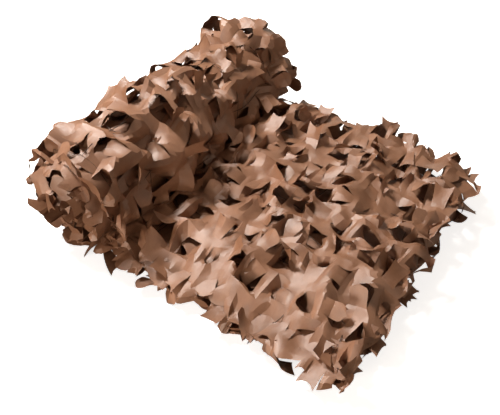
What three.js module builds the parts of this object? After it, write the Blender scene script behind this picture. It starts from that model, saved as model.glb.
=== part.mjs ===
// A leaf-cut shade net: one cloth whose cut leaves stand up, folded back and forth into four layers,
// rolled up from one end, with the other end lying loose on the floor.
// Millimetres, +Z up. X runs along the roll, the loose end points to -Y, and the origin is on the floor
// under the middle of the whole net.
import * as THREE from "three";

const { degToRad, lerp, smoothstep } = THREE.MathUtils;

// The folded strip
const CLOTH = 3; // thickness of one layer of leaf-cut cloth
const STRIP_WIDTH = 476; // from fold to fold
const ROLL_PITCH = 6.5; // from layer to layer where the net is wound
const LOOSE_PITCH = 15; // from layer to layer where it lies loose

// The roll and the loose end
const ROLL_RADIUS = 96; // outer face of the outermost turn, where it leaves the floor
const ROLL_AXIS_Y = 192;
const TURNS = 2.6;
const LOOSE_END_Y = -290; // cut end of the cloth, leaves not counted
const LOOSE_END_SKEW = 16; // the cut end lies askew: this much further out at -X than at +X
const PRESSED_LENGTH = 12; // the loose end is pressed as thin as the roll this far from its axis
const LOFT_LENGTH = 74; // and has risen to its full loft this far from it
const ROLL_SPREAD = 0.05; // share by which the strip is wider where it is wound
const SPREAD_DEGREES = 60; // it widens over this much of the first turn
const FAR_BULGE = 0.28; // share by which the loose end is higher at its +X side than at its -X side
const BULGE_FROM = 40; // it bulges from this far from the roll's axis
const BULGE_FULL = 140; // and is fully bulged this far from it
const ROLL_GAP = 0.3; // the loose end and the roll are two solids, this far apart under the roll
const ROLL_CLEAR = 0.6; // the roll bears on the loose end's edge and clears the floor by this much

// The cells of the cut pattern, one leaf to a cell
const CELL_LENGTH = 40; // along the strip
const CELLS_ACROSS = 9;
const OUTER_STEPS = 14; // cells round the outermost turn
const INNER_STEPS = 10; // coarser steps round the turns inside it

// Unevenness of the cloth
const ROLL_SWELL = 10; // how far the outermost turn swells out between its leaves
const LOOSE_SWELL = 14; // how far the top layer of the loose end swells up
const EDGE_WANDER = 5; // how far a fold wanders in and out
const FLOOR_WAIST = 1.5; // the layer on the floor is narrower than at its ends by this much at least
const TURN_DRIFT = 5; // how far the turns slip sideways past each other
const DRIFT_PER_TURN = 4.1; // radians of that slip in one turn

// One leaf: a tongue that bends at a knee and is widest there
const LEAF = {
  length: 31,
  shortest: 0.8, // of that length
  longest: 1.1,
  rootWidth: 20,
  kneeWidth: 29,
  tipWidth: 17,
  rootThick: 2,
  kneeThick: 1.8,
  tipThick: 1.2,
};

// How the leaves stand: degrees up from the cloth, how much further they bend at the knee, how far back
// from the middle of its cell the root lies, and size against the leaf above.
const FACE_LEAF = { lift: 46, liftSpread: 30, bend: 22, rootBack: 7, size: 1.1 };
const EDGE_LEAF = { lift: 80, liftSpread: 6, bend: 6, rootBack: 0, size: 0.66 };
const END_LEAF = { lift: 62, liftSpread: 24, bend: 20, rootBack: 0, size: 0.75 };
const LEAF_TURN = 0.3; // radians a root may lie askew in its cell
const LEAF_TWIST = 0.3; // radians a tip may turn against its root

// No leaf reaches past this box, which is the net's own.
const BOX = {
  min: new THREE.Vector3(-264, -316, 0.8),
  max: new THREE.Vector3(264, 316, 213),
};

// The four layers, from the floor up in the loose end. Each runs across the strip from its start side to
// the other side, and reach is how far its cut edge or fold stands out there.
const LAYERS = [
  { startSide: -1, startReach: -3, spans: CELLS_ACROSS, endReach: 0 },
  { startSide: 1, startReach: 0, spans: 2, endReach: -5 },
  { startSide: -1, startReach: -5, spans: 2, endReach: -2 },
  { startSide: 1, startReach: -2, spans: CELLS_ACROSS, endReach: 5 },
];
const FLOOR_LAYER = 0; // outside of the roll, underside of the loose end
const TOP_LAYER = LAYERS.length - 1; // top of the loose end, inside of the roll
const FOLD_ANGLES = [-45, 45]; // degrees, where a fold's rounding has its points

// Where leaves grow
const ROLL_LEAF_FROM = 28; // degrees round the outermost turn from the floor
const ROLL_LEAF_TO = 292;
const LOOSE_LEAF_CLEAR = 112; // the loose end's leaves keep this far from the roll's axis
const EDGE_LEAF_STEP = 24; // a step along an edge shorter than this has none
const EDGE_LEAF_SHARE = 0.4; // share of the steps along a fold or cut edge that have a leaf
const END_LEAF_SHARE = 0.8; // share of the cut end's cells that have one

// A fixed scatter of numbers from 0 to 1, the same for the same place, and the same from -1 to 1.
function scatter(a, b, c = 0) {
  const wild = Math.sin(a * 12.9898 + b * 78.233 + c * 37.719) * 43758.5453;
  return wild - Math.floor(wild);
}

function sway(a, b, c = 0) {
  return 2 * scatter(a, b, c) - 1;
}

// Stations along the strip's outer face: a place in the YZ plane, the way into the cloth, the layer spacing,
// and how far round the roll it is, in turns.
function looseStations() {
  const steps = Math.round((ROLL_AXIS_Y - LOOSE_END_Y) / CELL_LENGTH);
  return Array.from({ length: steps + 1 }, (_, i) => {
    const y = lerp(LOOSE_END_Y, ROLL_AXIS_Y - ROLL_GAP, i / steps);
    const loft = smoothstep(ROLL_AXIS_Y - y, PRESSED_LENGTH, LOFT_LENGTH);
    return { y, z: 0, inY: 0, inZ: 1, pitch: lerp(ROLL_PITCH, LOOSE_PITCH, loft), turn: 0 };
  });
}

function woundStations() {
  const outer = Array.from({ length: OUTER_STEPS }, (_, i) => i / OUTER_STEPS);
  const innerSteps = Math.round((TURNS - 1) * INNER_STEPS);
  const inner = Array.from({ length: innerSteps + 1 }, (_, i) => lerp(1, TURNS, i / innerSteps));
  return [...outer, ...inner].map((turn) => {
    const angle = turn * 2 * Math.PI;
    const radius = ROLL_RADIUS - turn * LAYERS.length * ROLL_PITCH;
    const inY = -Math.sin(angle);
    const inZ = Math.cos(angle);
    const y = ROLL_AXIS_Y - inY * radius;
    const z = ROLL_CLEAR + ROLL_RADIUS - inZ * radius;
    return { y, z, inY, inZ, pitch: ROLL_PITCH, turn };
  });
}

const loose = looseStations();
const stations = [...loose, ...woundStations()];

function onOutermostTurn(station) {
  const degrees = station.turn * 360;
  return degrees >= ROLL_LEAF_FROM && degrees <= ROLL_LEAF_TO;
}

function onLooseTop(station) {
  return station.turn === 0 && station.y <= ROLL_AXIS_Y - LOOSE_LEAF_CLEAR;
}

// How far a layer swells out of its place at one of its nodes. Only the two faces that show swell.
// It is a ridge along the strip plus a ridge across it, so that each cell stays flat.
function swell(layer, i, span) {
  const share = (scatter(span, 11, layer) + scatter(i, 12, layer)) / 2;
  if (layer === FLOOR_LAYER && onOutermostTurn(stations[i])) return -ROLL_SWELL * share;
  if (layer === TOP_LAYER && onLooseTop(stations[i])) return LOOSE_SWELL * share;
  return 0;
}

// How far a fold or cut edge stands out of line at station i. Edges are numbered as they follow one another
// through the layers. The first two bound the layer on the floor, which is widest at its two ends, so that
// the net rests on four corners.
function edgeWander(i, side, edge) {
  if (edge > 1 || i >= loose.length) return EDGE_WANDER * sway(i, edge, side);
  if (i === 0 || i === loose.length - 1) return 0;
  return -FLOOR_WAIST - EDGE_WANDER * scatter(i, edge, side);
}

// The strip's section at station i: the middle line of the cloth back and forth through all four layers, as
// nodes with x across the strip, depth into it, and the cloth's own normal.
function sectionNodes(i) {
  const { pitch, turn } = stations[i];
  const foldRadius = pitch / 2;
  const drift = TURN_DRIFT * Math.sin(turn * DRIFT_PER_TURN);
  const spread = 1 + ROLL_SPREAD * smoothstep(turn * 360, 0, SPREAD_DEGREES);
  const edgeX = (side, reach, edge) => {
    const out = (spread * STRIP_WIDTH) / 2 + reach + edgeWander(i, side, edge);
    return drift + side * (out - foldRadius);
  };
  const nodes = [];
  LAYERS.forEach(({ startSide, startReach, spans, endReach }, layer) => {
    const depth = CLOTH / 2 + layer * pitch;
    const startX = edgeX(startSide, startReach, layer);
    const endX = edgeX(-startSide, endReach, layer + 1);
    for (let span = 0; span <= spans; span += 1) {
      const swollen = depth + swell(layer, i, span);
      const x = lerp(startX, endX, span / spans);
      nodes.push({ x, depth: swollen, normalX: 0, normalDepth: startSide, layer, span });
    }
    if (layer === TOP_LAYER) return;
    FOLD_ANGLES.map(degToRad).forEach((angle) => {
      nodes.push({
        x: endX - startSide * foldRadius * Math.cos(angle),
        depth: depth + foldRadius * (1 + Math.sin(angle)),
        normalX: Math.cos(angle),
        normalDepth: -startSide * Math.sin(angle),
        layer,
        span: spans + 1,
      });
    });
  });
  return nodes;
}

// Points and triangles of the length of cloth being made
let points = [];
let triangles = [];

function addPoint(x, y, z) {
  points.push(new THREE.Vector3(x, y, z));
  return points.length - 1;
}

// A quad, split along the diagonal from its first corner.
function addQuad(a, b, c, d) {
  triangles.push(a, b, c, a, c, d);
}

// How high the loose end stands at a point of a section against its -X side, where 1 is no higher.
function bulge(station, x) {
  if (station.turn > 0) return 1;
  const grown = smoothstep(ROLL_AXIS_Y - station.y, BULGE_FROM, BULGE_FULL);
  return 1 + FAR_BULGE * grown * (0.5 + x / STRIP_WIDTH);
}

// A point of the section, set off from the cloth's middle line to one of its two faces.
function facePoint(station, node, face) {
  const offset = (face * CLOTH) / 2;
  const x = node.x + node.normalX * offset;
  const depth = (node.depth + node.normalDepth * offset) * bulge(station, x);
  const looseness = station.turn > 0 ? 0 : (ROLL_AXIS_Y - station.y) / (ROLL_AXIS_Y - LOOSE_END_Y);
  const skew = (LOOSE_END_SKEW * looseness * node.x) / STRIP_WIDTH;
  return addPoint(x, station.y + skew + station.inY * depth, station.z + station.inZ * depth);
}

// A ring of four points round a leaf, from its width and thickness. A ring that would reach past the box is
// moved back inside it as it is.
function leafRing(middle, wide, thick, width, thickness) {
  const half = { w: width / 2, t: thickness / 2 };
  const corners = [
    [-half.w, -half.t],
    [half.w, -half.t],
    [half.w, half.t],
    [-half.w, half.t],
  ];
  const ring = corners.map(([w, t]) =>
    middle.clone().addScaledVector(wide, w).addScaledVector(thick, t),
  );
  const room = new THREE.Box3().setFromPoints(ring);
  const moved = room.min.clone().clamp(BOX.min, BOX.max).sub(room.min);
  moved.add(room.max.clone().clamp(BOX.min, BOX.max).sub(room.max));
  return ring.map((p) => addPoint(...p.add(moved).toArray()));
}

// The wall of a leaf between two rings. Its two wide sides are split along the same diagonal, so that a
// twisted leaf keeps its thickness.
function addWall(lower, upper) {
  addQuad(lower[0], lower[1], upper[1], upper[0]);
  addQuad(lower[1], lower[2], upper[2], upper[1]);
  addQuad(lower[3], upper[3], upper[2], lower[2]);
  addQuad(lower[0], upper[0], upper[3], lower[3]);
}

// The cloth round a leaf's root: each side is split along the diagonal that leaves the fuller triangles.
function addCollar(corners, root, out) {
  const area = (a, b, c) => {
    const [pa, pb, pc] = [points[a], points[b], points[c]];
    return pb.clone().sub(pa).cross(pc.clone().sub(pa)).dot(out);
  };
  corners.forEach((a, k) => {
    const b = corners[(k + 1) % corners.length];
    const c = root[(k + 1) % corners.length];
    const d = root[k];
    const fromA = Math.min(area(a, b, c), area(a, c, d));
    const fromB = Math.min(area(b, c, d), area(b, d, a));
    if (fromA > fromB) addQuad(a, b, c, d);
    else addQuad(b, c, d, a);
  });
}

// A quad of the cloth with a leaf standing on it. Its corners go round as seen from outside, and the leaf's
// root lies along its first side.
function addLeafQuad(corners, stance, seed) {
  const [a, b, c, d] = corners.map((k) => points[k]);
  const middle = a.clone().add(b).add(c).add(d).divideScalar(4);
  const out = c.clone().sub(a).cross(d.clone().sub(b)).normalize();
  const wide = b.clone().add(c).sub(a).sub(d).normalize();
  if (stance.rootBack > 0) wide.applyAxisAngle(out, LEAF_TURN * sway(seed, 1));
  const ahead = out.clone().cross(wide).normalize();

  const lean = scatter(seed, 2) < 0.5 ? -1 : 1;
  const lift = degToRad(stance.lift + stance.liftSpread * scatter(seed, 3));
  const bent = lift + degToRad(stance.bend * sway(seed, 4));
  const length = stance.size * LEAF.length * lerp(LEAF.shortest, LEAF.longest, scatter(seed, 5));
  const mix = (p, q) => ahead.clone().multiplyScalar(p).addScaledVector(out, q);
  const alongAt = (angle) => mix(lean * Math.cos(angle), Math.sin(angle));
  const acrossAt = (angle) => mix(Math.sin(angle), -lean * Math.cos(angle));
  const root = middle.clone().addScaledVector(ahead, -lean * stance.rootBack);
  const knee = root.clone().addScaledVector(alongAt(lift), length / 2);
  const tip = knee.clone().addScaledVector(alongAt(bent), length / 2);
  const twisted = wide.clone().applyAxisAngle(out, LEAF_TWIST * sway(seed, 6));

  const { size } = stance;
  const kneeAcross = acrossAt((lift + bent) / 2);
  const rootRing = leafRing(root, wide, ahead, size * LEAF.rootWidth, LEAF.rootThick);
  const kneeRing = leafRing(knee, wide, kneeAcross, size * LEAF.kneeWidth, LEAF.kneeThick);
  const tipRing = leafRing(tip, twisted, acrossAt(bent), size * LEAF.tipWidth, LEAF.tipThick);
  addCollar(corners, rootRing, out);
  addWall(rootRing, kneeRing);
  addWall(kneeRing, tipRing);
  addQuad(...tipRing);
}

// A quad along a fold or a cut edge, its first side along the strip: some of those long enough carry a leaf.
function addEdgeQuad(corners, seed) {
  const [a, b] = corners.map((k) => points[k]);
  const longEnough = a.distanceTo(b) > EDGE_LEAF_STEP;
  if (longEnough && scatter(seed, 7) < EDGE_LEAF_SHARE) addLeafQuad(corners, EDGE_LEAF, seed);
  else addQuad(...corners);
}

// The same quad, named from its last corner on.
function turnedOnce([a, b, c, d]) {
  return [d, a, b, c];
}

// Both faces of the cloth between two stations and two neighbouring nodes of the section.
function addCell(section, next, i, n) {
  const { layer, span } = section.nodes[n];
  const near = [section.near[n], section.near[n + 1], next.near[n + 1], next.near[n]];
  const far = [section.far[n], next.far[n], next.far[n + 1], section.far[n + 1]];
  const seed = i * section.nodes.length + n;
  const ends = [stations[i], stations[i + 1]];
  const shows =
    (layer === FLOOR_LAYER && ends.every(onOutermostTurn)) ||
    (layer === TOP_LAYER && ends.every(onLooseTop));
  const { spans, startSide } = LAYERS[layer];

  if (shows && span < spans) {
    const leansAlong = (i + n) % 2 === 0;
    addLeafQuad(leansAlong ? turnedOnce(far) : far, FACE_LEAF, seed);
    addQuad(...near);
  } else if (span > spans && section.nodes[n + 1].span > spans) {
    const [outside, inside] = startSide < 0 ? [far, near] : [turnedOnce(near), far];
    addEdgeQuad(outside, seed);
    addQuad(...inside);
  } else {
    addQuad(...near);
    addQuad(...far);
  }
}

// One length of the folded cloth: both faces through its stations, joined along the two cut edges and closed
// across the cloth at both ends. Leaves stand on its first end where that is the net's own cut end.
function clothLength(name, firstStation, lastStation, firstIsCutEnd) {
  points = [];
  triangles = [];
  const sections = stations.map((station, i) => {
    if (i < firstStation || i > lastStation) return null;
    const nodes = sectionNodes(i);
    const near = nodes.map((node) => facePoint(station, node, -1));
    const far = nodes.map((node) => facePoint(station, node, 1));
    return { nodes, near, far };
  });
  const first = sections[firstStation];
  const end = sections[lastStation];
  const last = first.nodes.length - 1;

  for (let i = firstStation; i < lastStation; i += 1) {
    const section = sections[i];
    const next = sections[i + 1];
    for (let n = 0; n < last; n += 1) addCell(section, next, i, n);
    addEdgeQuad([section.near[0], next.near[0], next.far[0], section.far[0]], i);
    addEdgeQuad([section.far[last], next.far[last], next.near[last], section.near[last]], -i);
  }

  for (let n = 0; n < last; n += 1) {
    const { layer, span } = first.nodes[n];
    const cell = [first.far[n], first.far[n + 1], first.near[n + 1], first.near[n]];
    const wideCell = LAYERS[layer].spans === CELLS_ACROSS && span < CELLS_ACROSS;
    const hasLeaf = firstIsCutEnd && wideCell && scatter(n, 8) < END_LEAF_SHARE;
    if (hasLeaf) addLeafQuad(cell, END_LEAF, n);
    else addQuad(...cell);
    addQuad(end.near[n], end.near[n + 1], end.far[n + 1], end.far[n]);
  }

  const geometry = new THREE.BufferGeometry();
  const coordinates = points.flatMap((p) => p.toArray());
  geometry.setAttribute("position", new THREE.Float32BufferAttribute(coordinates, 3));
  geometry.setIndex(triangles);
  geometry.computeVertexNormals();
  const leafCloth = new THREE.MeshStandardMaterial({
    color: 0x9b7059,
    roughness: 0.72,
    metalness: 0,
    flatShading: true,
  });
  const mesh = new THREE.Mesh(geometry, leafCloth);
  mesh.name = name;
  return mesh;
}

const shadeNet = new THREE.Group();
shadeNet.add(clothLength("loose_end", 0, loose.length - 1, true));
shadeNet.add(clothLength("roll", loose.length, stations.length - 1, false));

export default shadeNet;
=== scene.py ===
import bpy
import numpy as np
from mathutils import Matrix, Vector


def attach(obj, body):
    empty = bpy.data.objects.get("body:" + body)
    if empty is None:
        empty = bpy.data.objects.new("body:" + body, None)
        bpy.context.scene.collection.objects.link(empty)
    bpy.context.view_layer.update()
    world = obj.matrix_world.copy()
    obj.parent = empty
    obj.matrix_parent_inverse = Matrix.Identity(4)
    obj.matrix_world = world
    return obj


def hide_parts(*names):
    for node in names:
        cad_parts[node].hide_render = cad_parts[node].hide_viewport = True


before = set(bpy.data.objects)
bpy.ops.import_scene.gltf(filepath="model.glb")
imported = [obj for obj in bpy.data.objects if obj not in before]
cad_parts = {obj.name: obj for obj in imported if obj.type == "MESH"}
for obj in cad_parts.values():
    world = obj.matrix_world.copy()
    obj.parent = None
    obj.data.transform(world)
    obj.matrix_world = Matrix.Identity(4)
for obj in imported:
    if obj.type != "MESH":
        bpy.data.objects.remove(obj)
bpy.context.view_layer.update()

bpy.ops.object.select_all(action="DESELECT")


# The net cloth
# One piece of brown coated polyester, slit all over so that flared tongues stand up between curved webs.
# It is folded back and forth into four panels, and the strip that makes is rolled up from its far end.
NET_WIDTH = 2.0
NET_LENGTH = 1.5
PANELS = 4
CLOTH_CELLS = 37  # leaf cells across the cloth
STRIP_CELLS = 29  # leaf cells along it
STAGGER = 0.5  # cells that every other column of them is set on
CELL = np.sqrt(NET_WIDTH * NET_LENGTH / (CLOTH_CELLS * STRIP_CELLS))
FOLDS = np.array([0, 9.5, 18.5, 27.5, CLOTH_CELLS])  # cells to each fold, which runs through the cells there

CLOTH = 0.003  # the room that a layer takes
STRIP_WIDTH = 0.482
ROLL_PITCH = 0.0065  # from layer to layer where the strip is wound
LOOSE_PITCH = 0.0168  # and where it lies loose
ROLL_RADIUS = 0.0915
ROLL_AXIS_Y = 0.192
TURNS = 2.6
LOOSE_END_Y = -0.304
LOOSE_LENGTH = ROLL_AXIS_Y - LOOSE_END_Y
PRESSED_LENGTH = 0.012  # of the loose end next to the roll, where its layers lie as close as the roll's
LOFT_LENGTH = 0.074  # from the roll to where they lie loosest

LEAF_DRAW = 71  # picks one arrangement of buckles and leaves
rng = np.random.default_rng(LEAF_DRAW)


def smooth(x, low, high):
    t = np.clip((x - low) / (high - low), 0, 1)
    return t * t * (3 - 2 * t)


def unit(v):
    return v / np.maximum(np.linalg.norm(v, axis=-1, keepdims=True), 1e-12)


TABLE = 64  # swells or creases after which they repeat
SWELL_LAYERS = 12
SWELL_GAIN = 1.5
swell_angles = rng.uniform(0, 2 * np.pi, (SWELL_LAYERS, TABLE, TABLE))


def swell(a, b, layer):
    """Uneven swells of the cloth, from about -1 to 1. Each layer of the table gives different ones."""
    a0 = np.floor(a).astype(int)
    b0 = np.floor(b).astype(int)
    fa = a - a0
    fb = b - b0

    def slope(da, db):
        angle = swell_angles[layer, (a0 + da) % TABLE, (b0 + db) % TABLE]
        return np.cos(angle) * (fa - da) + np.sin(angle) * (fb - db)

    # Weights that join one square of the lattice to the next without a kink.
    wa = fa**3 * (fa * (fa * 6 - 15) + 10)
    wb = fb**3 * (fb * (fb * 6 - 15) + 10)
    low = slope(0, 0) * (1 - wa) + slope(1, 0) * wa
    high = slope(0, 1) * (1 - wa) + slope(1, 1) * wa
    return SWELL_GAIN * (low * (1 - wb) + high * wb)


CREASE_WAY = (0.83, 0.47)  # creases run at a slant to the cells
CREASE_LAYERS = 4
crease_heights = rng.uniform(-1, 1, (CREASE_LAYERS, TABLE, TABLE))


def creased(a, b, layer):
    """The same with flat facets and sharp creases between them."""
    across = CREASE_WAY[0] * a + CREASE_WAY[1] * b
    along = CREASE_WAY[0] * b - CREASE_WAY[1] * a
    a0 = np.floor(across).astype(int)
    b0 = np.floor(along).astype(int)
    fa = across - a0
    fb = along - b0

    def height(da, db):
        return crease_heights[layer, (a0 + da) % TABLE, (b0 + db) % TABLE]

    near = height(0, 0) + fa * (height(1, 0) - height(0, 0)) + fb * (height(0, 1) - height(0, 0))
    far = height(1, 1) + (1 - fa) * (height(0, 1) - height(1, 1)) + (1 - fb) * (height(1, 0) - height(1, 1))
    return np.where(fa + fb < 1, near, far)


# The strip's run: flat along the floor from the loose end, then round and round inwards.
ROLL_STEPS = 600
turn_steps = np.linspace(0, TURNS, ROLL_STEPS)
mid_radius = ROLL_RADIUS - turn_steps * PANELS * ROLL_PITCH - PANELS / 2 * ROLL_PITCH
step_radius = (mid_radius[1:] + mid_radius[:-1]) / 2
wound = np.concatenate([[0], np.cumsum(np.diff(turn_steps) * 2 * np.pi * step_radius)])

CUT_STRIP = 0.6  # cells along a cut edge that are bunched up
CUT_BUNCH = 0.4  # to this share of their width
CUT_SHORT = CUT_STRIP * (1 - CUT_BUNCH)


def bunched(cells):
    return np.where(cells < CUT_STRIP, CUT_STRIP + CUT_BUNCH * (cells - CUT_STRIP), cells)


def strip_run(b):
    """Where the strip's floor face is b cells from its loose end."""
    b = bunched(b)
    along = (b - CUT_SHORT) / (STRIP_CELLS + STAGGER - CUT_SHORT) * (LOOSE_LENGTH + wound[-1])
    turn = np.interp(along - LOOSE_LENGTH, wound, turn_steps)
    angle = turn * 2 * np.pi
    radius = ROLL_RADIUS - turn * PANELS * ROLL_PITCH
    in_y = -np.sin(angle)
    in_z = np.cos(angle)
    y = np.minimum(along - LOOSE_LENGTH, 0) + ROLL_AXIS_Y - in_y * radius
    z = ROLL_RADIUS - in_z * radius
    loose = np.maximum(LOOSE_LENGTH - along, 0)
    pitch = ROLL_PITCH + (LOOSE_PITCH - ROLL_PITCH) * smooth(loose, PRESSED_LENGTH, LOFT_LENGTH)
    return dict(y=y, z=z, in_y=in_y, in_z=in_z, turn=turn, loose=loose, pitch=pitch)


FOLD_SHARE = 0.02  # of a panel's width that bends round in each half of a fold


def fold_across(a, pitch):
    """Where the cloth is in the folded section a cells from its first edge: across, deep, and its face."""
    a = CLOTH_CELLS - bunched(CLOTH_CELLS - bunched(a))
    panel = np.clip(np.searchsorted(FOLDS, a, side="right") - 1, 0, PANELS - 1)
    share = (a - FOLDS[panel]) / (FOLDS[panel + 1] - FOLDS[panel])
    run = np.where(panel % 2 == 0, 1.0, -1.0)
    fold_before = panel > 0
    fold_after = panel < PANELS - 1
    into = np.where(fold_before, np.clip(1 - share / FOLD_SHARE, 0, 1), 0) * np.pi / 2
    out = np.where(fold_after, np.clip(1 - (1 - share) / FOLD_SHARE, 0, 1), 0) * np.pi / 2
    start = np.where(fold_before, FOLD_SHARE, 0)
    end = np.where(fold_after, 1 - FOLD_SHARE, 1)
    # A cut edge has no fold to stop at, so its drifting web may run on past the panel.
    flat = np.clip((share - start) / (end - start), np.where(fold_before, 0, -1), np.where(fold_after, 1, 2))
    radius = pitch / 2
    x = run * ((STRIP_WIDTH / 2 - radius) * (2 * flat - 1) + radius * (np.sin(out) - np.sin(into)))
    depth = CLOTH / 2 + panel * pitch + radius * (np.cos(into) - np.cos(out))
    return dict(x=x, depth=depth, panel=panel, face_x=np.sin(into + out), face_in=-run * np.cos(into + out))


TOP_SHOWN = (0.055, 0.1)  # metres from the roll over which the loose end's top comes out from under it
OUTSIDE_FROM = (8, 34)  # degrees round the roll over which its outside comes off the floor
OUTSIDE_TO = (300, 328)  # and goes out of sight again behind the loose end


def outer_turn(run):
    """1 on the outermost turn of the roll, and 0 on the loose end and on the turns inside."""
    degrees = run["turn"] * 360
    return smooth(degrees, *OUTSIDE_FROM) * (1 - smooth(degrees, *OUTSIDE_TO))


def showing(run, fold):
    """1 on the two faces that show, the loose end's top and the roll's outside, and 0 inside the folds."""
    top = (fold["panel"] == PANELS - 1) * smooth(run["loose"], *TOP_SHOWN)
    return np.maximum(top, (fold["panel"] == 0) * outer_turn(run))


WEB_DRIFT = 0.2  # cells that the web is pulled out of its even lattice
DRIFT_SCALE = 0.9  # swells to a cell
DRIFT_START = (3.1, 5.7)  # where the swells across and along start
SLOW_DRIFT = 1.6  # times as far by slower swells
SLOW_DRIFT_SCALE = 0.35


def drifted(a, b):
    """Where a place of the even lattice of cells comes to lie in the cloth."""
    quick_a = swell(a * DRIFT_SCALE + DRIFT_START[0], b * DRIFT_SCALE, 0)
    quick_b = swell(a * DRIFT_SCALE, b * DRIFT_SCALE + DRIFT_START[1], 1)
    slow_a = swell(a * SLOW_DRIFT_SCALE, b * SLOW_DRIFT_SCALE, 9)
    slow_b = swell(a * SLOW_DRIFT_SCALE, b * SLOW_DRIFT_SCALE, 10)
    return a + WEB_DRIFT * (quick_a + SLOW_DRIFT * slow_a), b + WEB_DRIFT * (quick_b + SLOW_DRIFT * slow_b)


FACE_LIFT = 0.006  # the loose end's top stands this far off its layer
FACE_WAVE = 0.017  # the faces that show buckle this far either way
SIDE_WAVE = 0.6  # and by this share more at the strip's two sides
BROAD_FACETS = 0.85  # weight in the buckling of facets about a cell wide
FINE_FACETS = 1.0  # of finer ones on the roll
LOOSE_FACETS = 0.3  # and on the loose end
FINE_SCALE = 1.8  # facets to a cell
RIPPLE = 0.22  # and of soft ripples
RIPPLE_SCALE = 1.9
ROLL_LUMP = 0.012  # slow lumps, this far either way
LOOSE_LUMP = 0.006
LUMP_SCALE = 0.31
HIDDEN_WAVE = 0.25  # share of the layer spacing that the layers inside buckle
EDGE_WAVE = 0.88  # share of the layer spacing that their edges ruffle
RUFFLE_SCALE = 1.3


def buckled(a, b, run, shows, near_side, near_end):
    """How far the cloth stands off the even layer it lies in."""
    on_roll = run["turn"] > 0
    fine = np.where(on_roll, FINE_FACETS, LOOSE_FACETS)
    wave = BROAD_FACETS * creased(a, b, 1) + fine * creased(a * FINE_SCALE, b * FINE_SCALE, 0)
    wave = wave + RIPPLE * swell(a * RIPPLE_SCALE, b * RIPPLE_SCALE, 3)
    lumps = np.where(on_roll, ROLL_LUMP, LOOSE_LUMP) * swell(a * LUMP_SCALE, b * LUMP_SCALE, 4)
    lift = np.where(on_roll, 0, FACE_LIFT)
    shown = lift + FACE_WAVE * wave * (1 + SIDE_WAVE * near_side) + lumps
    ruffled = np.maximum(near_side, near_end) * swell(a * RUFFLE_SCALE, b * RUFFLE_SCALE, 7)
    hidden = run["pitch"] * (HIDDEN_WAVE * wave + EDGE_WAVE * ruffled)
    return shows * shown + (1 - shows) * hidden


SIDE_SHARPNESS = 6  # the higher, the closer to its sides the strip changes
SIDE_MOST = 1.1  # share of the way from the middle to a side past which nothing changes more
END_CELLS = 1.6  # cells from the cut end over which it changes
EDGE_DROOP = 0.3  # share of its height that the loose end loses at its -X side and its cut end
FAR_BULGE = 0.3  # share by which the loose end is higher at its +X side
BULGE_FROM = (0.04, 0.14)  # metres from the roll over which that starts
TOP_FALL = 0.75  # share of its height that the top layer falls at the loose end's -X side
FALL_FROM = (0.06, 0.14)  # metres from the roll over which that starts
TOP_REACH = np.array([0.032, 0.022])  # how far it reaches out past the layers under it at -X and +X
TOP_SIDE = (0.68, 1.0)  # share of the way from the middle to a side over which it falls and reaches out
LEFT_REACH_FROM = (0.0, 0.06)  # metres from the roll over which it starts to reach out at -X
LEFT_REACH_TO = (0.2, 0.45)  # and comes half the way back
LEFT_COMES_BACK = 0.5
RIGHT_REACH_FROM = (0.06, 0.24)  # and over which it starts at +X
RIGHT_REACH_TO = (0.36, 0.5)  # and comes all the way back
TOP_END_OUT = 0.006  # how far the top layer's cut end reaches out
UNDER_END_IN = 0.008  # and the cut ends under it stay back
LOOSE_END_SKEW = 0.026  # how much farther out the cut end is at -X than at +X
WANDER = 0.02  # how far an edge wanders in and out
WANDER_SCALE = 1.1  # swells to a cell along the edge
WANDER_ACROSS = 0.2  # and across a side
SIDES_APART = 7.3  # swells between one panel's wandering and the next one's
ENDS_APART = 3.7
ENDS_START = 0.5
ROLL_PUFF = np.array([0.020, 0.007, 0.004, 0.002])  # how far the outermost turn puffs out, by panel
ROLL_SPREAD = np.array([0.07, 0.12])  # share by which the strip is wider where it is wound, at -X and +X
SPREAD_OVER = (0, 60)  # degrees round the roll over which that comes
ROLL_SLIP = 0.006  # how far the turns slip along the roll either way
SLIP_RATE = 4.1  # radians to a turn
END_CLOSE = 0.012  # how far the outermost layer comes in over the roll's two ends
END_ROUND = np.array([0.05, 0.0])  # share of its radius that the roll loses at its -X and +X ends
END_SHARPNESS = 4  # the higher, the closer to its ends
ROLL_LEAN = 0.08  # how far the roll leans towards -X for its height
LEAN_OVER = (10, 70)  # degrees round the roll over which leaning and rounding come


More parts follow.
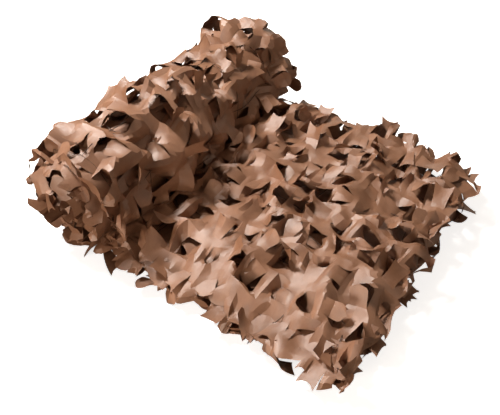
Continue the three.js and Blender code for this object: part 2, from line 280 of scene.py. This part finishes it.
def web(a, b):
    """Points of the buckled cloth, its face and how far it shows, for places in cells across and along."""
    a, b = drifted(a, b)
    run = strip_run(b)
    fold = fold_across(a, run["pitch"])
    shows = showing(run, fold)
    loose = run["loose"]
    degrees = run["turn"] * 360
    panel = fold["panel"]
    on_top = panel == PANELS - 1
    side = fold["x"] / (STRIP_WIDTH / 2)
    way_out = np.sign(side)
    to_side = np.clip(np.abs(side), 0, SIDE_MOST)
    at_right = (side > 0).astype(int)
    near_side = to_side**SIDE_SHARPNESS
    near_end = 1 - smooth(b, 0, END_CELLS)
    height = buckled(a, b, run, shows, near_side, near_end)

    droop = EDGE_DROOP * np.maximum(near_side * (side < 0), near_end) * (loose > 0)
    bulge = FAR_BULGE * smooth(loose, *BULGE_FROM) * (0.5 + side / 2)
    fall = TOP_FALL * smooth(loose, *FALL_FROM) * smooth(-side, *TOP_SIDE)
    depth = fold["depth"] * (1 - droop + bulge) * (1 - np.where(on_top, fall, 0))
    depth = depth - ROLL_PUFF[panel] * outer_turn(run) + fold["face_in"] * height
    depth = depth + END_CLOSE * near_side * (panel == 0) * smooth(degrees, *OUTSIDE_FROM)

    left_out = smooth(loose, *LEFT_REACH_FROM) * (1 - LEFT_COMES_BACK * smooth(loose, *LEFT_REACH_TO))
    right_out = smooth(loose, *RIGHT_REACH_FROM) * (1 - smooth(loose, *RIGHT_REACH_TO))
    top_out = TOP_REACH[at_right] * np.where(side > 0, right_out, left_out) * smooth(np.abs(side), *TOP_SIDE)
    wander = WANDER * swell(panel * SIDES_APART + a * WANDER_ACROSS, b * WANDER_SCALE, 5) * near_side
    x = fold["x"] * (1 + ROLL_SPREAD[at_right] * smooth(degrees, *SPREAD_OVER)) + fold["face_x"] * height
    x = x + way_out * (wander + np.where(on_top, top_out, 0)) + ROLL_SLIP * np.sin(run["turn"] * SLIP_RATE)

    skew = LOOSE_END_SKEW * loose / LOOSE_LENGTH * side / 2
    ragged = WANDER * swell(a * WANDER_SCALE, panel * ENDS_APART + ENDS_START, 8)
    ragged = ragged + np.where(on_top, -TOP_END_OUT, UNDER_END_IN)
    y = run["y"] + skew + ragged * near_end + run["in_y"] * depth
    z = run["z"] + run["in_z"] * depth

    leaning = smooth(degrees, *LEAN_OVER)
    rounded = 1 - END_ROUND[at_right] * to_side**END_SHARPNESS * leaning
    y = ROLL_AXIS_Y + (y - ROLL_AXIS_Y) * rounded
    z = ROLL_RADIUS + (z - ROLL_RADIUS) * rounded
    x = x - ROLL_LEAN * (z - ROLL_RADIUS) * leaning
    face = np.stack([fold["face_x"], run["in_y"] * fold["face_in"], run["in_z"] * fold["face_in"]], -1)
    return np.stack([x, y, z], -1), face, shows


# One leaf cell: a tongue with its neck on one side, and a web of two rings of faces from the slit round it
# to the cell's four sides.
CELL_STEPS = 6  # faces along one side of a cell
TONGUE_STEPS = CELL_STEPS - 2  # faces across the tongue
TONGUE_ROWS = CELL_STEPS + 2  # faces along it
ROUND = 4 * CELL_STEPS  # faces round the slit, and round the cell

cells = np.meshgrid(np.arange(CLOTH_CELLS), np.arange(STRIP_CELLS), indexing="ij")
cell_a = cells[0].ravel()
cell_row = cells[1].ravel()
cell_b = cell_row + STAGGER * (cell_a % 2)
count = len(cell_a)
centre_a = cell_a + 0.5
centre_b = cell_b + 0.5
centre_turn = strip_run(centre_b)["turn"]
near_roll = centre_turn > 0
on_fold = np.isin(cell_a, FOLDS[1:-1].astype(int))
first_edge = cell_a == 0
last_edge = cell_a == CLOTH_CELLS - 1
cut_end = cell_row == 0
at_edge = on_fold | first_edge | last_edge | cut_end

# Which way each tongue points, in quarter turns from along the strip: every other one across it, and on the
# roll those at a fold or a cut edge outwards. On the loose end only some do, and none at its corners or
# under its top layer at -X.
OUTWARDS_SHARE = 0.4
along_strip = 2 * ((cell_a + cell_row // 2) % 2)
across_strip = 1 + 2 * ((cell_row + cell_a // 2) % 2)
points_to = np.where((cell_a + cell_row) % 2 == 0, along_strip, across_strip)
outwards = rng.random(count) < OUTWARDS_SHARE
tucked = (first_edge | (cell_a == int(FOLDS[2]))) & ~near_roll
tucked = tucked | (cut_end & (first_edge | last_edge | on_fold))
outwards = (outwards | near_roll) & ~tucked
points_to = np.where(on_fold & outwards, 1 + 2 * rng.integers(0, 2, count), points_to)
points_to = np.where(first_edge & outwards, 1, points_to)
points_to = np.where(last_edge & outwards, 3, points_to)
points_to = np.where(cut_end & outwards, 2, points_to)

# The tongue's outline in cells. It is flared with a hollow tip, or round-tipped.
FLARED_SHARE = 0.62
FLARED = dict(neck=(0.19, 0.25), wide=(0.28, 0.35), rounding=(0.0, 0.12), bow=(0.06, 0.26))
ROUND_TIPPED = dict(neck=(0.19, 0.24), wide=(0.26, 0.31), rounding=(0.75, 0.97), bow=(-0.12, 0.02))
NECK_AT = 0.16  # from the cell's side to the neck
LENGTHS = (0.58, 0.7)
LONGEST = 0.8
FLARE_POWER = 2.1
TIP_FROM = 0.72  # share of its length where a tongue starts to close

flared = rng.random(count) < FLARED_SHARE


def drawn(size):
    return np.where(flared, rng.uniform(*FLARED[size], count), rng.uniform(*ROUND_TIPPED[size], count))


neck = drawn("neck")
wide = drawn("wide")
length = rng.uniform(*LENGTHS, count)
rounding = drawn("rounding")
bow = drawn("bow")
length = np.minimum(length, LONGEST / (1 + np.maximum(bow, 0)))

to_tip = np.linspace(0, 1, TONGUE_ROWS + 1)
to_edge = np.linspace(-1, 1, TONGUE_STEPS + 1)
swelling = np.where(flared[:, None], to_tip**FLARE_POWER, smooth(to_tip, 0.0, TIP_FROM))
closing = np.clip((to_tip - TIP_FROM) / (1 - TIP_FROM), 0, 1)
half_width = neck[:, None] + (wide - neck)[:, None] * swelling
half_width = half_width * np.sqrt(1 - rounding[:, None] * closing**2)
bowing = bow[:, None, None] * to_tip[:, None] ** 3 * to_edge**2
flat_u = half_width[:, :, None] * to_edge
flat_v = NECK_AT + length[:, None, None] * (to_tip[:, None] + bowing)

quarter_cos = np.array([1, 0, -1, 0])[points_to]
quarter_sin = np.array([0, 1, 0, -1])[points_to]


def in_cloth(u, v):
    """Places in a cell, from its tongue's own axes to cells across and along the cloth."""
    each = (count, *[1] * (u.ndim - 1))
    c = quarter_cos.reshape(each)
    q = quarter_sin.reshape(each)
    v = v - 0.5
    return centre_a.reshape(each) + c * u - q * v, centre_b.reshape(each) + q * u + c * v


rows = list(range(TONGUE_ROWS + 1))
columns = list(range(TONGUE_STEPS + 1))
ring_rows = [0] * (TONGUE_STEPS + 1) + rows[1:] + [TONGUE_ROWS] * TONGUE_STEPS + rows[-2:0:-1]
ring_columns = columns + [TONGUE_STEPS] * TONGUE_ROWS + columns[-2::-1] + [0] * (TONGUE_ROWS - 1)
slit_u = flat_u[:, ring_rows, ring_columns]
slit_v = flat_v[:, ring_rows, ring_columns]
side_steps = np.arange(CELL_STEPS) / CELL_STEPS
rim = np.concatenate([
    np.stack([side_steps, 0 * side_steps], 1),
    np.stack([0 * side_steps + 1, side_steps], 1),
    np.stack([1 - side_steps, 0 * side_steps + 1], 1),
    np.stack([0 * side_steps, 1 - side_steps], 1),
])
rim = np.roll(rim, -1, axis=0)
rim_u = np.broadcast_to(rim[:, 0] - 0.5, (count, ROUND))
rim_v = np.broadcast_to(rim[:, 1], (count, ROUND))

slit_a, slit_b = in_cloth(slit_u, slit_v)
middle_a, middle_b = in_cloth(0.5 * (slit_u + rim_u), 0.5 * (slit_v + rim_v))
rim_a, rim_b = in_cloth(rim_u, rim_v)

# The web's lip round each slit is pulled away from the neck and arches up or dips.
LIP_RISE = (-0.014, 0.006)  # how far the lip round a slit is turned up or down
LIP_TILT = (0.005, 0.017)  # and how much more at one side of the slit than at the other
LIP_PULL = 0.06  # cells
LIP_SPREAD = 0.08  # share by which a slit is pulled wider
LIP_ALONG = (0.05, 0.8)  # share of the slit's length over which the lip comes free
FOLD_LIP = 0.35  # share of that at a fold
HIDDEN_LIP = 0.15  # and inside the folds
MIDDLE_LIP = 0.6  # and halfway from the slit to the cell's sides
SLIT_HALF = (0.3, 0.35)  # cells, across and along

tilt_way = rng.uniform(0, 2 * np.pi, count)[:, None]
tilt = np.cos(tilt_way) * slit_u / SLIT_HALF[0] + np.sin(tilt_way) * (slit_v - 0.5) / SLIT_HALF[1]
lip = rng.uniform(*LIP_RISE, count)[:, None] + rng.uniform(*LIP_TILT, count)[:, None] * tilt
opened = smooth((slit_v - NECK_AT) / length[:, None], *LIP_ALONG)
lip = lip * opened * np.where(on_fold, FOLD_LIP, 1)[:, None]
pulled_a, pulled_b = in_cloth(slit_u * (1 + LIP_SPREAD * opened), slit_v + LIP_PULL * opened)
slit_points, slit_face, slit_shows = web(pulled_a, pulled_b)
middle_points, middle_face, middle_shows = web(middle_a, middle_b)
slit_points += slit_face * (lip * (HIDDEN_LIP + (1 - HIDDEN_LIP) * slit_shows))[..., None]
middle_lip = MIDDLE_LIP * lip * (HIDDEN_LIP + (1 - HIDDEN_LIP) * middle_shows)
middle_points += middle_face * middle_lip[..., None]

# Cells share the points of their sides, which have one key for each place in the cloth.
COLUMN_KEY = 100000
rim_keys = np.round(rim_a * CELL_STEPS).astype(int) * COLUMN_KEY + np.round(rim_b * CELL_STEPS).astype(int)
rim_keys, rim_index = np.unique(rim_keys, return_inverse=True)
rim_index = rim_index.reshape(count, ROUND)
rim_cloth = np.stack([rim_keys // COLUMN_KEY, rim_keys % COLUMN_KEY], 1) / CELL_STEPS
rim_points = web(rim_cloth[:, 0], rim_cloth[:, 1])[0]

# The axes that each tongue stands on: ahead of its neck, aside, and off the face that shows.
NECK_SPAN = 0.08  # cells from the neck's middle over which they are measured
FREE_GAIN = 1.15  # a tongue is all free a little before its face is all in sight
tongue_a, tongue_b = in_cloth(flat_u, flat_v)
neck_points = web(tongue_a[:, 0], tongue_b[:, 0])[0]
zero = np.zeros(count)
root, face, shows = web(*in_cloth(zero, zero + NECK_AT))
before_neck = web(*in_cloth(zero, zero + NECK_AT + NECK_SPAN))[0]
right_of_neck = web(*in_cloth(zero + NECK_SPAN, zero + NECK_AT))[0]
left_of_neck = web(*in_cloth(zero - NECK_SPAN, zero + NECK_AT))[0]
ahead = unit(before_neck - root)
aside = right_of_neck - left_of_neck
aside = unit(aside - ahead * np.sum(aside * ahead, -1, keepdims=True))
off = unit(np.cross(aside, ahead))
off = off * np.where(np.sum(off * face, -1, keepdims=True) < 0, -1, 1)
free = np.clip(shows * FREE_GAIN, 0, 1)
on_roll = web(centre_a, centre_b)[0][:, 1] > ROLL_AXIS_Y - ROLL_RADIUS
panel_of = fold_across(centre_a, 0)["panel"]

# How each tongue stands, in degrees off its face: it rises or sinks freely on the faces that show and at the
# edges, and is pressed flat inside the folds.
ROLL_STAND = (20, 68)
ROLL_STAND_LEAN = (1.4, 1.4)  # the two weights of a beta draw
LOOSE_STAND = (7, 43)
LOOSE_STAND_LEAN = (1.3, 1.7)
ROLL_SUNKEN = (40, 90)
LOOSE_SUNKEN = (14, 54)
ROLL_SUNKEN_SHARE = 0.40
LOOSE_SUNKEN_SHARE = 0.34
EDGE_STAND = (-32, 36)
BENT_OVER = (55, 95)  # at the roll's two ends
ROLL_PRESSED = (-6, 8)
LOOSE_PRESSED = (-10, 10)
SECOND_PANEL = (-34, 0)  # under the roll's outermost panel, where they show through its slits
SECOND_PANEL_TURNS = (0.06, 0.9)
FOLD_STAND = 0.5  # share of the angle that is left at the loose end's folds
HALF_FREE = 0.5
HARDLY_FREE = 0.3


def between(low, high):
    return rng.uniform(low, high, count)


def leaning_between(low, high, lean):
    return low + (high - low) * rng.beta(*lean, count)


roll_stand = leaning_between(*ROLL_STAND, ROLL_STAND_LEAN)
loose_stand = leaning_between(*LOOSE_STAND, LOOSE_STAND_LEAN)
stand = free * np.radians(np.where(on_roll, roll_stand, loose_stand))
sunken = rng.random(count) < np.where(on_roll, ROLL_SUNKEN_SHARE, LOOSE_SUNKEN_SHARE)
sinks = free * np.radians(np.where(on_roll, between(*ROLL_SUNKEN), between(*LOOSE_SUNKEN)))
stand = np.where(sunken, -sinks, stand)
stand = np.where(at_edge & (free < HALF_FREE), np.radians(between(*EDGE_STAND)), stand)
bent_over = np.radians(between(*BENT_OVER)) * rng.choice([-1, 1], count)
stand = np.where(at_edge & near_roll & (free < HALF_FREE), bent_over, stand)
stand = np.where(first_edge & near_roll, -np.abs(bent_over), stand)
stand = np.where(on_fold & ~near_roll, FOLD_STAND * stand, stand)
pressed = np.where(near_roll, between(*ROLL_PRESSED), between(*LOOSE_PRESSED))
second_panel = (panel_of == 1) & (centre_turn > SECOND_PANEL_TURNS[0]) & (centre_turn < SECOND_PANEL_TURNS[1])
pressed = np.where(second_panel, between(*SECOND_PANEL), pressed)
stand = np.where(~at_edge & (free < HARDLY_FREE), np.radians(pressed), stand)
# None at the roll's ends stands up past its outline.
raised = at_edge & near_roll & (root[:, 2] > ROLL_RADIUS) & (stand * off[:, 2] > 0)
stand = np.where(raised, -stand, stand)

# How each tongue is bent on its way to the tip, as the spread of a normal draw.
CURL = 34  # degrees
CREASE = 36  # degrees, in one sharp line across the tongue
CREASE_AT = (0.3, 0.75)  # share of its length
CREASED_SHARE = 0.45
TWIST = 26  # degrees
CUP = 0.24  # share of its half width that its two sides turn up
KEEL = 0.225  # share of it that they fold up from a sharp middle line
ROLL_EDGE_BEND = 0.35  # share of all these at the roll's two ends
LOOSE_EDGE_BEND = 0.7  # and at the loose end's edges
PRESSED_BEND = 0.06  # and inside the folds

edge_bends = np.where(near_roll, ROLL_EDGE_BEND, LOOSE_EDGE_BEND)
bends = np.where(at_edge, edge_bends, np.maximum(free, PRESSED_BEND))
curl = bends * np.radians(rng.normal(0, CURL, count))
crease_at = between(*CREASE_AT)
crease = bends * np.radians(rng.normal(0, CREASE, count)) * (rng.random(count) < CREASED_SHARE)
twist = bends * np.radians(rng.normal(0, TWIST, count))
cup = bends * rng.normal(0, CUP, count)
keel = bends * rng.normal(0, KEEL, count)

# A tongue stands less steep at the back of the roll and least where it would point straight up from its top.
LOOSE_STEEPEST = 46
ROLL_STEEPEST = 60
BACK_LESS = 40
TOP_LESS = 42
FACING_BACK = (-0.3, 0.6)  # how far its face turns to +Y
POINTING_UP = (0.2, 0.8)  # and it points up as well
at_back = smooth(off[:, 1], *FACING_BACK)
over_top = smooth(off[:, 1] * ahead[:, 2], *POINTING_UP)
steepest = np.where(on_roll, ROLL_STEEPEST - BACK_LESS * at_back - TOP_LESS * over_top, LOOSE_STEEPEST)
steepest = np.radians(steepest)

NECK_BEND = 0.12  # share of its length in which a tongue bends up from its neck
CURL_POWER = 1.6
CUP_LEVEL = 0.4  # of the cup's height, at which the tongue keeps to its own face
KEEL_ALONG = (0.1, 0.6)  # share of the tongue's length over which the middle line sharpens
mid_row = 0.5 * (to_tip[1:] + to_tip[:-1])
mid_bend = stand[:, None] * smooth(mid_row, -NECK_BEND, NECK_BEND) + curl[:, None] * mid_row**CURL_POWER
mid_bend = mid_bend + crease[:, None] * (mid_row > crease_at[:, None])
mid_bend = np.minimum(mid_bend, steepest[:, None])
bend = np.concatenate([mid_bend[:, :1], 0.5 * (mid_bend[:, 1:] + mid_bend[:, :-1]), mid_bend[:, -1:]], 1)
step = length[:, None] * CELL / TONGUE_ROWS
forward = np.concatenate([zero[:, None], np.cumsum(step * np.cos(mid_bend), 1)], 1)
rise = np.concatenate([zero[:, None], np.cumsum(step * np.sin(mid_bend), 1)], 1)
spine = root[:, None] + forward[..., None] * ahead[:, None] + rise[..., None] * off[:, None]
tangent = np.cos(bend)[..., None] * ahead[:, None] + np.sin(bend)[..., None] * off[:, None]
normal = -np.sin(bend)[..., None] * ahead[:, None] + np.cos(bend)[..., None] * off[:, None]
turned = (twist[:, None] * to_tip)[..., None]
across = np.cos(turned) * aside[:, None] + np.sin(turned) * normal
normal = np.cos(turned) * normal - np.sin(turned) * aside[:, None]
cupped = cup[:, None, None] * (to_edge**2 - CUP_LEVEL) * to_tip[:, None]
keeled = keel[:, None, None] * np.abs(to_edge) * smooth(to_tip, *KEEL_ALONG)[:, None]
lifted = half_width[:, :, None] * CELL * (cupped + keeled)
bowed = length[:, None, None] * CELL * bowing
tongue = spine[:, :, None] + (flat_u * CELL)[..., None] * across[:, :, None]
tongue = tongue + lifted[..., None] * normal[:, :, None] + bowed[..., None] * tangent[:, :, None]
held = ((1 - to_tip) ** 3)[:, None, None]
tongue = tongue + (neck_points - tongue[:, 0])[:, None] * held

# The sheet's points, faces and cloth coordinates put together. A tongue's first row is the slit ring's.
FLOOR_GAP = 0.0006  # least height over the floor
FLOOR_FUZZ = 0.0008  # and up to this much more
REACH = np.array([0.268, 0.318, 0.211])  # tips that would stand out past this
BENT_BACK = np.array([0.7, 0.75, 0.85])  # bend back by this share
CREASE_ANGLE = 18  # degrees past which an edge between faces shows

slit_start = len(rim_points)
middle_start = slit_start + count * ROUND
tongue_start = middle_start + count * ROUND
slit_index = slit_start + np.arange(count * ROUND).reshape(count, ROUND)
middle_index = middle_start + np.arange(count * ROUND).reshape(count, ROUND)
grid = tongue_start + np.arange(count * TONGUE_ROWS * (TONGUE_STEPS + 1))
grid = grid.reshape(count, TONGUE_ROWS, TONGUE_STEPS + 1)
grid = np.concatenate([slit_index[:, None, : TONGUE_STEPS + 1], grid], 1)


def ring_faces(inner, outer):
    return np.stack([inner, outer, np.roll(outer, -1, 1), np.roll(inner, -1, 1)], -1).reshape(-1, 4)


tongue_faces = np.stack([grid[:, :-1, :-1], grid[:, :-1, 1:], grid[:, 1:, 1:], grid[:, 1:, :-1]], -1)
faces = np.concatenate([
    ring_faces(slit_index, middle_index),
    ring_faces(middle_index, rim_index),
    tongue_faces.reshape(-1, 4),
])
points = np.concatenate([
    rim_points,
    slit_points.reshape(-1, 3),
    middle_points.reshape(-1, 3),
    tongue[:, 1:].reshape(-1, 3),
])
cloth_places = np.concatenate([
    rim_cloth,
    np.stack([slit_a, slit_b], -1).reshape(-1, 2),
    np.stack([middle_a, middle_b], -1).reshape(-1, 2),
    np.stack([tongue_a[:, 1:], tongue_b[:, 1:]], -1).reshape(-1, 2),
]) * [NET_WIDTH / CLOTH_CELLS, NET_LENGTH / STRIP_CELLS]
points[:, 2] = np.maximum(points[:, 2], FLOOR_GAP + FLOOR_FUZZ * rng.random(len(points)))
points -= np.sign(points) * BENT_BACK * np.maximum(np.abs(points) - REACH, 0)

net_mesh = bpy.data.meshes.new("net_cloth")
net_mesh.from_pydata(points.tolist(), [], faces.tolist())
net_cloth = bpy.data.objects.new("net_cloth", net_mesh)
bpy.context.scene.collection.objects.link(net_cloth)
cloth_map = net_mesh.uv_layers.new(name="cloth")
loop_points = np.empty(len(net_mesh.loops), np.int32)
net_mesh.loops.foreach_get("vertex_index", loop_points)
cloth_map.data.foreach_set("uv", cloth_places[loop_points].ravel())
net_cloth.select_set(True)
bpy.context.view_layer.objects.active = net_cloth
bpy.ops.object.shade_smooth_by_angle(angle=np.radians(CREASE_ANGLE))
bpy.ops.object.select_all(action="DESELECT")


class Socket:
    """One value in a material's nodes, so that sums and products on it add their own nodes."""

    def __init__(self, tree, out):
        self.tree = tree
        self.out = out

    def node(self, kind, settings=None, **links):
        made = self.tree.nodes.new(kind)
        for name, value in (settings or {}).items():
            if name == "stops":
                ramp = made.color_ramp
                while len(ramp.elements) < len(value):
                    ramp.elements.new(0.5)
                for element, (place, colour) in zip(ramp.elements, value):
                    element.position = place
                    element.color = (*colour, 1)
            else:
                setattr(made, name, value)
        for name, value in links.items():
            socket = made.inputs[int(name[1:])] if name[0] == "_" else made.inputs[name.replace("_", " ")]
            if isinstance(value, Socket):
                self.tree.links.new(value.out, socket)
            else:
                socket.default_value = value
        return made

    def get(self, kind, output, settings=None, **links):
        return Socket(self.tree, self.node(kind, settings, **links).outputs[output])

    def maths(self, operation, first, second):
        return self.get("ShaderNodeMath", 0, {"operation": operation}, _0=first, _1=second)

    def __add__(self, other):
        return self.maths("ADD", self, other)

    def __radd__(self, other):
        return self.maths("ADD", other, self)

    def __mul__(self, other):
        return self.maths("MULTIPLY", self, other)

    def __rmul__(self, other):
        return self.maths("MULTIPLY", other, self)


def new_material(name, slots):
    material = bpy.data.materials.new(name)
    material.use_nodes = True
    tree = material.node_tree
    shader = tree.nodes["Principled BSDF"]
    for slot_name, value in slots.items():
        shader.inputs[slot_name].default_value = value
    return material, tree, shader


# The cloth's finish: a brown dye that is a little uneven, under a thin coating with a low shine that is worn
# in patches. A fine weave and small crumples show as relief.
DARK_BROWN = (0.185, 0.08, 0.038)
BROWN = (0.24, 0.109, 0.056)
PALE_BROWN = (0.31, 0.15, 0.083)
LEAST_ROUGH = 0.4
WORN_ROUGHER = 0.16
WEAVE = dict(Scale=420.0, Distortion=0.4)
RELIEF = 0.0022  # metres

cloth_material, tree, shader = new_material("coated_cloth", {"Specular IOR Level": 0.85, "IOR": 1.53})
start = Socket(tree, None)
cloth_uv = start.get("ShaderNodeUVMap", "UV", {"uv_map": "cloth"})
patches = start.get("ShaderNodeTexNoise", "Fac", Vector=cloth_uv, Scale=22.0, Detail=3.0, Roughness=0.55)
streaks = start.get("ShaderNodeTexNoise", "Fac", Vector=cloth_uv, Scale=130.0, Detail=4.0, Roughness=0.6)
dyes = [(0.32, DARK_BROWN), (0.5, BROWN), (0.7, PALE_BROWN)]
dyed = start.get("ShaderNodeValToRGB", "Color", {"stops": dyes}, Fac=patches * 0.7 + streaks * 0.3)
tree.links.new(dyed.out, shader.inputs["Base Color"])
weft = start.get("ShaderNodeTexWave", "Fac", {"bands_direction": "X"}, Vector=cloth_uv, **WEAVE)
warp = start.get("ShaderNodeTexWave", "Fac", {"bands_direction": "Y"}, Vector=cloth_uv, **WEAVE)
crumple = start.get("ShaderNodeTexNoise", "Fac", Vector=cloth_uv, Scale=60.0, Detail=3.0, Roughness=0.5)
relief = weft * warp * 0.12 + crumple * 0.9
bump = start.get("ShaderNodeBump", "Normal", Height=relief, Strength=0.35, Distance=RELIEF)
tree.links.new(bump.out, shader.inputs["Normal"])
worn = LEAST_ROUGH + patches * WORN_ROUGHER
tree.links.new(worn.out, shader.inputs["Roughness"])
net_mesh.materials.append(cloth_material)

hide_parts("roll", "loose_end")
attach(net_cloth, "root")


# The string net
# Thin brown polyester cord knotted in squares behind the cloth, which is tied to it and takes the pull.
# It shows only as short lengths in some of the slits.
CORD_RADIUS = 0.0006
CORD_SET_BACK = 0.02  # it hangs this far behind the faces that show
CORD_PRESSED = 0.3  # and this share of it inside the folds
CORD_STEPS = 4  # lengths to a cell
CORD_EVERY = 2  # cells from cord to cord
CORD_AT = (0.4, 0.45)  # its place in a cell, across and along
CORD_ENDS_ACROSS = (0.4, 0.4)  # cells that it stays back from the cloth's two edges
CORD_ENDS_ALONG = (0.7, 0.3)  # and from its two ends
CORD_MOST_X = 0.205
CORD_LEAST_Y = LOOSE_END_Y + 0.035
CORD_LEAST_Z = 0.0012
DARK_CORD = (0.03, 0.017, 0.011)
PALE_CORD = (0.07, 0.04, 0.027)


def cord_line(a, b):
    point, face, shows = web(a, b)
    return point - face * (CORD_SET_BACK * (CORD_PRESSED + (1 - CORD_PRESSED) * shows))[:, None]


def tube(path):
    """Points and faces of a three-sided tube along a path."""
    way = unit(np.gradient(path, axis=0))
    side = unit(np.cross(way, [0.31, 0.22, 0.92]))  # square to the cord and to a slant that none follows
    over = np.cross(way, side)
    turns = np.radians([90, 210, 330])
    ring = np.cos(turns)[None, :, None] * side[:, None] + np.sin(turns)[None, :, None] * over[:, None]
    index = np.arange(len(path) * 3).reshape(-1, 3)
    after = np.roll(index, -1, 1)
    quads = np.stack([index[:-1], after[:-1], after[1:], index[1:]], -1).reshape(-1, 4)
    return (path[:, None] + CORD_RADIUS * ring).reshape(-1, 3), quads


along_steps = np.linspace(CORD_ENDS_ALONG[0], STRIP_CELLS - CORD_ENDS_ALONG[1], STRIP_CELLS * CORD_STEPS)
across_steps = np.linspace(CORD_ENDS_ACROSS[0], CLOTH_CELLS - CORD_ENDS_ACROSS[1], CLOTH_CELLS * CORD_STEPS)
cord_ways = [(0 * along_steps + i + CORD_AT[0], along_steps) for i in range(0, CLOTH_CELLS, CORD_EVERY)]
cord_ways += [(across_steps, 0 * across_steps + j + CORD_AT[1]) for j in range(1, STRIP_CELLS, CORD_EVERY)]
cord_points = []
cord_faces = []
cord_count = 0
for a, b in cord_ways:
    tube_points, tube_faces = tube(cord_line(a, b))
    cord_points.append(tube_points)
    cord_faces.append(tube_faces + cord_count)
    cord_count += len(tube_points)
cord_points = np.concatenate(cord_points)
cord_points[:, 0] = np.clip(cord_points[:, 0], -CORD_MOST_X, CORD_MOST_X)
cord_points[:, 1] = np.maximum(cord_points[:, 1], CORD_LEAST_Y)
cord_points[:, 2] = np.maximum(cord_points[:, 2], CORD_LEAST_Z)
cord_mesh = bpy.data.meshes.new("string_net")
cord_mesh.from_pydata(cord_points.tolist(), [], np.concatenate(cord_faces).tolist())
string_net = bpy.data.objects.new("string_net", cord_mesh)
bpy.context.scene.collection.objects.link(string_net)
string_net.select_set(True)
bpy.context.view_layer.objects.active = string_net
bpy.ops.object.shade_smooth()
bpy.ops.object.select_all(action="DESELECT")

cord_material, tree, shader = new_material("cord", {"Roughness": 0.7})
start = Socket(tree, None)
in_space = start.get("ShaderNodeTexCoord", "Object")
fibres = start.get("ShaderNodeTexNoise", "Fac", Vector=in_space, Scale=900.0, Detail=2.0, Roughness=0.6)
twine = start.get("ShaderNodeValToRGB", "Color", {"stops": [(0.3, DARK_CORD), (0.7, PALE_CORD)]}, Fac=fibres)
tree.links.new(twine.out, shader.inputs["Base Color"])
cord_mesh.materials.append(cord_material)

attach(string_net, "root")


# The studio
# A pale floor and backdrop that glow but throw no light back on the net. A small key light from high behind
# the roll and a low broad one at -X model the leaves, and weak fills, a dim warm world and the camera follow.
FLOOR_SIDE = 12
BACKDROP_RADIUS = 6
BACKDROP_HEIGHT = 9
PALE = (0.9, 0.9, 0.9, 1)
GLOW = (1, 1, 1, 1)
GLOW_STRENGTH = 0.75

studio_slots = {
    "Base Color": PALE,
    "Roughness": 0.9,
    "Emission Color": GLOW,
    "Emission Strength": GLOW_STRENGTH,
}
studio_material, tree, shader = new_material("floor", studio_slots)
bpy.ops.mesh.primitive_plane_add(size=FLOOR_SIDE)
floor = bpy.context.object
floor.name = "floor"
floor.data.materials.append(studio_material)
floor.visible_diffuse = False
floor.visible_glossy = False

bpy.ops.mesh.primitive_cylinder_add(
    vertices=96, radius=BACKDROP_RADIUS, depth=BACKDROP_HEIGHT, end_fill_type="NOTHING",
    location=(0, 0, BACKDROP_HEIGHT / 2),
)
backdrop = bpy.context.object
backdrop.name = "backdrop"
bpy.ops.object.shade_smooth()
backdrop.data.materials.append(studio_material)
backdrop.visible_diffuse = False
backdrop.visible_glossy = False
backdrop.visible_shadow = False
bpy.ops.object.select_all(action="DESELECT")


def soft_light(name, place, aim, size, power, colour):
    bpy.ops.object.light_add(type="AREA", location=place)
    light = bpy.context.object
    light.name = name
    light.data.shape = "DISK"
    light.data.size = size
    light.data.energy = power
    light.data.color = colour
    light.rotation_euler = (Vector(aim) - Vector(place)).to_track_quat("-Z", "Y").to_euler()


NEAR_WHITE = (1, 0.97, 0.92)
WARM = (1, 0.88, 0.76)
WARMER = (1, 0.85, 0.7)
soft_light("key", place=(-0.1, 1.07, 1.56), aim=(0, -0.05, 0.08), size=0.4, power=56, colour=NEAR_WHITE)
soft_light("left", place=(-2.2, 0.15, 0.27), aim=(0, 0.15, 0.08), size=1.2, power=48, colour=WARM)
soft_light("front", place=(0.3, -2.0, 1.2), aim=(0, 0, 0.08), size=1.5, power=6, colour=WARMER)
soft_light("right", place=(2.3, 0.5, 0.4), aim=(0, 0.1, 0.08), size=1.5, power=8, colour=WARM)

WORLD_COLOUR = (1, 0.8, 0.6, 1)
WORLD_STRENGTH = 0.15
world = bpy.context.scene.world or bpy.data.worlds.new("studio")
bpy.context.scene.world = world
world.use_nodes = True
world.node_tree.nodes["Background"].inputs["Color"].default_value = WORLD_COLOUR
world.node_tree.nodes["Background"].inputs["Strength"].default_value = WORLD_STRENGTH
bpy.context.scene.view_settings.view_transform = "Standard"

AZIMUTH = np.radians(-54.3)
ELEVATION = np.radians(44.0)
DISTANCE = 1.192
TARGET = Vector((-0.0358, -0.008, 0.0404))
LENS = 50.98  # millimetres, on a sensor this wide
SENSOR = 36
level = np.cos(ELEVATION)
back = Vector((np.sin(AZIMUTH) * level, -np.cos(AZIMUTH) * level, np.sin(ELEVATION)))
bpy.ops.object.camera_add(location=TARGET + DISTANCE * back)
camera = bpy.context.object
camera.rotation_euler = (-back).to_track_quat("-Z", "Y").to_euler()
camera.data.lens = LENS
camera.data.sensor_width = SENSOR
camera.data.sensor_fit = "HORIZONTAL"
bpy.context.scene.camera = camera
bpy.ops.object.select_all(action="DESELECT")
